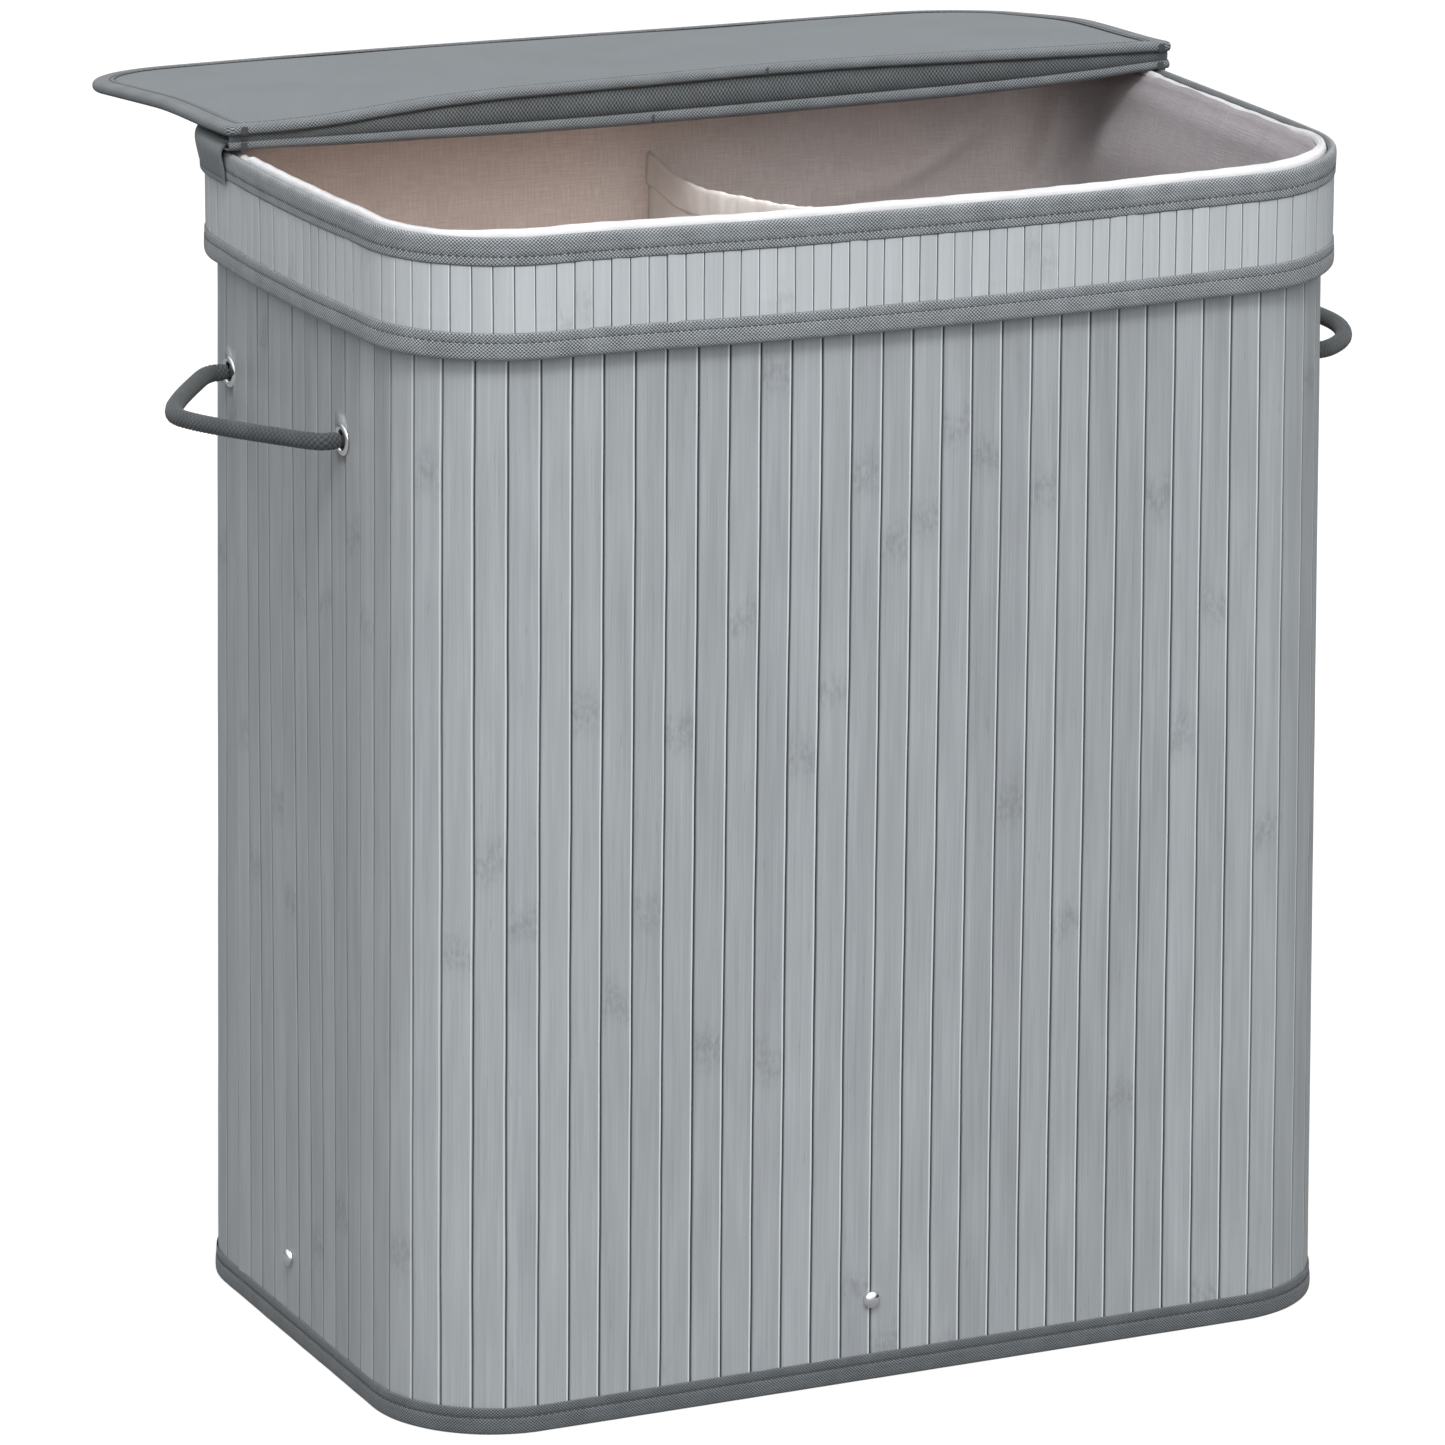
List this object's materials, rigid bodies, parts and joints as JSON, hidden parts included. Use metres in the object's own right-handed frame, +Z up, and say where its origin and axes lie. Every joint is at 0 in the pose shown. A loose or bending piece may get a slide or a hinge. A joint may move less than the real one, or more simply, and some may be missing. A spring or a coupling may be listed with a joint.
{
  "type": "laundry hamper",
  "caption": "Tall rounded-rectangular slatted laundry hamper with a divided cloth liner, two rope handles and a lift-off lid whose front flap folds back on a cloth hinge.",
  "frame": {"origin": "on the floor, below the line on which the lid's flap turns, which is also the middle of the object's box while the flap is folded back", "axes": "+Z up, the front faces -Y, +X to the right as seen from the front"},
  "size_m": [0.6312, 0.4707, 0.6212],
  "materials": {
    "bamboo": "grey stained, satin",
    "backing_cloth": "glued cloth",
    "edge_tape": "woven tape",
    "lid_cloth": "smooth coated cloth",
    "rope": "braided",
    "liner_cloth": "linen weave",
    "cuff_cloth": "plain cotton",
    "fibreboard": "raw board",
    "batten_wood": "sawn",
    "rim_steel": "drawn wire",
    "chrome": "polished"
  },
  "bodies": {
    "hamper": {"slats_front": "bamboo", "slats_back": "bamboo", "slats_left": "bamboo", "slats_right": "bamboo", "slats_corner_front_left": "bamboo", "slats_corner_front_right": "bamboo", "slats_corner_back_left": "bamboo", "slats_corner_back_right": "bamboo", "wall_backing": "backing_cloth", "bottom_binding": "edge_tape", "top_binding": "edge_tape", "rim_wire": "rim_steel", "base_board": "fibreboard", "base_batten_front": "batten_wood", "base_batten_back": "batten_wood", "base_batten_left": "batten_wood", "base_batten_right": "batten_wood", "base_screw_front": "chrome", "base_screw_back": "chrome", "base_screw_left": "chrome", "base_screw_right": "chrome", "left_eyelet_front": "chrome", "left_rope_end_front": "rope", "left_eyelet_rear": "chrome", "left_rope_end_rear": "rope", "right_eyelet_front": "chrome", "right_rope_end_front": "rope", "right_eyelet_rear": "chrome", "right_rope_end_rear": "rope", "liner_wall": "liner_cloth", "liner_floor": "liner_cloth", "liner_divider": "liner_cloth", "liner_cuff": "cuff_cloth"},
    "lid": {"ring_slats_front": "bamboo", "ring_slats_back": "bamboo", "ring_slats_left": "bamboo", "ring_slats_right": "bamboo", "ring_slats_corner_front_left": "bamboo", "ring_slats_corner_front_right": "bamboo", "ring_slats_corner_back_left": "bamboo", "ring_slats_corner_back_right": "bamboo", "ring_backing": "backing_cloth", "ring_top_binding": "edge_tape", "ring_bottom_binding": "edge_tape", "rear_board": "fibreboard", "rear_cover": "lid_cloth", "rear_skirt": "lid_cloth", "rear_strip_binding": "edge_tape", "hinge_tape": "edge_tape"},
    "flap": {"flap_board": "fibreboard", "flap_lining": "lid_cloth", "flap_cover": "lid_cloth", "flap_binding": "edge_tape"},
    "left_handle": {"left_handle_rope": "rope"},
    "right_handle": {"right_handle_rope": "rope"}
  },
  "joints": [
    {"name": "lid_lift", "type": "slide", "parent": "hamper", "child": "lid", "axis": [0, 0, 1], "range_m": [0, 0.12]},
    {"name": "flap_hinge", "type": "hinge", "parent": "lid", "child": "flap", "pos_m": [0, 0, 0.61325], "axis": [1, 0, 0], "range_deg": [0, 185.2]},
    {"name": "left_handle_swing", "type": "hinge", "parent": "hamper", "child": "left_handle", "pos_m": [-0.26042, -0.052, 0.486], "axis": [0, 1, 0], "range_deg": [-75, 75]},
    {"name": "right_handle_swing", "type": "hinge", "parent": "hamper", "child": "right_handle", "pos_m": [0.26042, -0.075, 0.486], "axis": [0, -1, 0], "range_deg": [-75, 75]}
  ]
}
